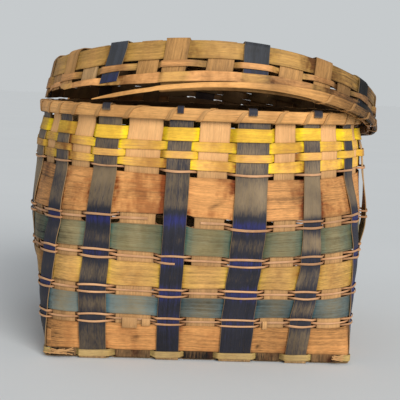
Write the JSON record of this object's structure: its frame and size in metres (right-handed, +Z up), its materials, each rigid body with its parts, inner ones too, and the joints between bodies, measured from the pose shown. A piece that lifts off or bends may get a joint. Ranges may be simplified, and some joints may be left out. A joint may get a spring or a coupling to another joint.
{
  "type": "lidded basket",
  "caption": "Woven wood-splint storage basket with a square foot, round belly and rim, dyed rows, and a loose cap lid set askew on the rim.",
  "frame": {"origin": "middle of the base's underside, on the surface the basket stands on", "axes": "+Z up, +X to the right and -Y to the front, as the picture shows it"},
  "size_m": [0.3981, 0.3957, 0.3345],
  "materials": {
    "natural_splint": "worn, dry, satin",
    "blue_splint": "worn blue dye over wood, satin",
    "pale_yellow_splint": "worn, dry, satin",
    "natural_weaver": "worn, dry, satin",
    "teal_splint": "faded teal dye over wood, satin",
    "wide_yellow_splint": "faded yellow dye over wood, satin",
    "green_splint": "faded green dye over wood, satin",
    "narrow_splint": "worn, dry, satin",
    "yellow_splint": "yellow dye over wood, satin",
    "rim_wood": "worn, dry, satin",
    "lashing_splint": "worn, dry, satin",
    "lid_splint": "worn, dry, satin",
    "lid_blue_splint": "faded blue dye over wood, satin",
    "lid_weaver": "worn, dry, satin",
    "lid_hoop_wood": "worn, dry, satin"
  },
  "bodies": {
    "basket": {"front_upright_1": "natural_splint", "front_upright_2": "blue_splint", "front_upright_3": "natural_splint", "front_upright_4": "blue_splint", "front_upright_5": "natural_splint", "front_upright_6": "blue_splint", "front_upright_7": "natural_splint", "front_upright_8": "blue_splint", "front_upright_9": "natural_splint", "side_upright_1": "blue_splint", "side_upright_2": "natural_splint", "side_upright_3": "blue_splint", "side_upright_4": "natural_splint", "side_upright_5": "blue_splint", "side_upright_6": "natural_splint", "side_upright_7": "blue_splint", "base_weaver": "pale_yellow_splint", "low_natural_weaver": "natural_weaver", "teal_weaver": "teal_splint", "wide_yellow_weaver": "wide_yellow_splint", "green_weaver": "green_splint", "high_natural_weaver": "natural_weaver", "narrow_band_1": "narrow_splint", "narrow_band_2": "narrow_splint", "narrow_band_3": "narrow_splint", "narrow_band_4": "narrow_splint", "narrow_band_5": "narrow_splint", "yellow_weaver_1": "yellow_splint", "yellow_weaver_2": "yellow_splint", "yellow_weaver_3": "yellow_splint", "yellow_weaver_4": "yellow_splint", "rim_inner_hoop": "rim_wood", "rim_outer_hoop": "rim_wood", "rim_lashing": "lashing_splint"},
    "lid": {"lid_front_splint_1": "lid_splint", "lid_front_splint_2": "lid_splint", "lid_front_splint_3": "lid_splint", "lid_front_splint_4": "lid_blue_splint", "lid_front_splint_5": "lid_splint", "lid_front_splint_6": "lid_splint", "lid_front_splint_7": "lid_splint", "lid_front_splint_8": "lid_blue_splint", "lid_side_splint_1": "lid_blue_splint", "lid_side_splint_2": "lid_splint", "lid_side_splint_3": "lid_splint", "lid_side_splint_4": "lid_splint", "lid_side_splint_5": "lid_blue_splint", "lid_side_splint_6": "lid_splint", "lid_side_splint_7": "lid_splint", "lid_side_splint_8": "lid_splint", "lid_wide_weaver": "lid_weaver", "lid_narrow_weaver": "lid_weaver", "lid_edge_weaver": "lid_weaver", "lid_inner_hoop": "lid_hoop_wood", "lid_outer_hoop": "lid_hoop_wood", "lid_lashing": "lashing_splint"}
  },
  "joints": [
    {"name": "lid_lift", "type": "slide", "parent": "basket", "child": "lid", "axis": [0, 0, 1], "range_m": [0, 0.15]}
  ]
}
